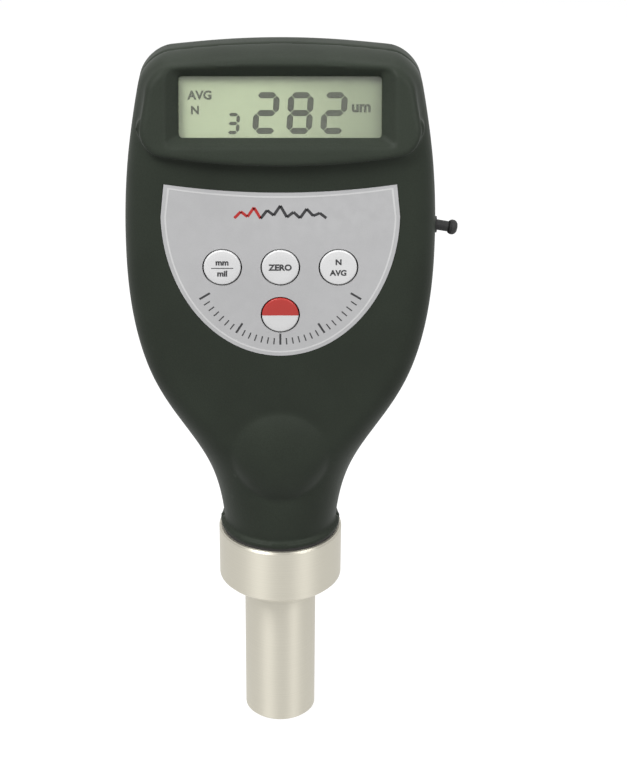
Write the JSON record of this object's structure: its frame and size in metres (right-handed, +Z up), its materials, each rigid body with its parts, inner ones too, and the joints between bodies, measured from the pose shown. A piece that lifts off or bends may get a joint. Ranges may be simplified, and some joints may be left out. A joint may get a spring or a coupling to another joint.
{
  "type": "surface profile gauge",
  "caption": "Handheld digital gauge with a leaning display, film keypad, battery door and a round steel probe whose sprung needle measures surface profile depth.",
  "frame": {"origin": "centre of the probe's flat foot face", "axes": "+Z up along the probe axis, the display faces -Y, the port is on +X"},
  "size_m": [0.0698, 0.0288, 0.1625],
  "materials": {
    "body_plastic": "fine textured moulding",
    "keypad_film": "satin printed film",
    "key_white": "satin",
    "key_red": "satin, two colours",
    "clear_lens": "clear",
    "display_glass": "reflective liquid crystal",
    "probe_steel": "fine turned, satin nickel",
    "small_steel": "plated",
    "hard_metal": "ground",
    "ferrite": "dull",
    "brass": "turned",
    "copper": "enamelled wire",
    "black_rubber": "matt",
    "board": "solder mask",
    "chip_plastic": "moulded",
    "pale_plastic": "moulded",
    "cell_can": "printed sleeve over a can"
  },
  "bodies": {
    "housing": {"front_shell": "body_plastic", "rear_shell": "body_plastic", "keypad_film": "keypad_film", "display_lens": "clear_lens", "display_glass": "display_glass", "probe_collar": "probe_steel", "probe_barrel": "probe_steel", "probe_foot": "probe_steel", "barrel_cap": "probe_steel", "contact_plates": "small_steel", "contact_springs": "small_steel", "case_screws": "small_steel", "board_screws": "small_steel", "return_spring": "small_steel", "lower_bush": "brass", "upper_bush": "brass", "display_ribbon": "brass", "coil_windings": "copper", "neck_seal": "black_rubber", "sensor_lead": "black_rubber", "main_board": "board", "controller_chip": "chip_plastic", "key_switches": "chip_plastic", "data_jack": "chip_plastic", "display_carrier": "chip_plastic", "lead_socket": "pale_plastic", "coil_former": "pale_plastic", "cell_1": "cell_can", "cell_2": "cell_can", "cell_3": "cell_can", "cell_4": "cell_can"},
    "key_units": {"key_units": "key_white"},
    "key_zero": {"key_zero": "key_white"},
    "key_average": {"key_average": "key_white"},
    "key_power": {"key_power": "key_red"},
    "stylus": {"spindle": "small_steel", "needle": "hard_metal", "sensor_core": "ferrite"},
    "battery_door": {"battery_door": "body_plastic"},
    "port_plug": {"port_plug": "black_rubber"}
  },
  "joints": [
    {"name": "key_units_press", "type": "slide", "parent": "housing", "child": "key_units", "axis": [0, 1, 0], "range_m": [0, 0.0004], "stiffness_N_per_m": 800},
    {"name": "key_zero_press", "type": "slide", "parent": "housing", "child": "key_zero", "axis": [0, 1, 0], "range_m": [0, 0.0004], "stiffness_N_per_m": 800},
    {"name": "key_average_press", "type": "slide", "parent": "housing", "child": "key_average", "axis": [0, 1, 0], "range_m": [0, 0.0004], "stiffness_N_per_m": 800},
    {"name": "key_power_press", "type": "slide", "parent": "housing", "child": "key_power", "axis": [0, 1, 0], "range_m": [0, 0.0004], "stiffness_N_per_m": 800},
    {"name": "needle_slide", "type": "slide", "parent": "housing", "child": "stylus", "axis": [0, 0, -1], "range_m": [-0.0002, 0.0008], "stiffness_N_per_m": 200, "springref_m": 0.005, "deforming": ["return_spring"]},
    {"name": "door_slide", "type": "slide", "parent": "housing", "child": "battery_door", "axis": [0, 0, 1], "range_m": [0, 0.05]},
    {"name": "plug_pull", "type": "slide", "parent": "housing", "child": "port_plug", "axis": [1, 0, 0], "range_m": [0, 0.0085]}
  ]
}
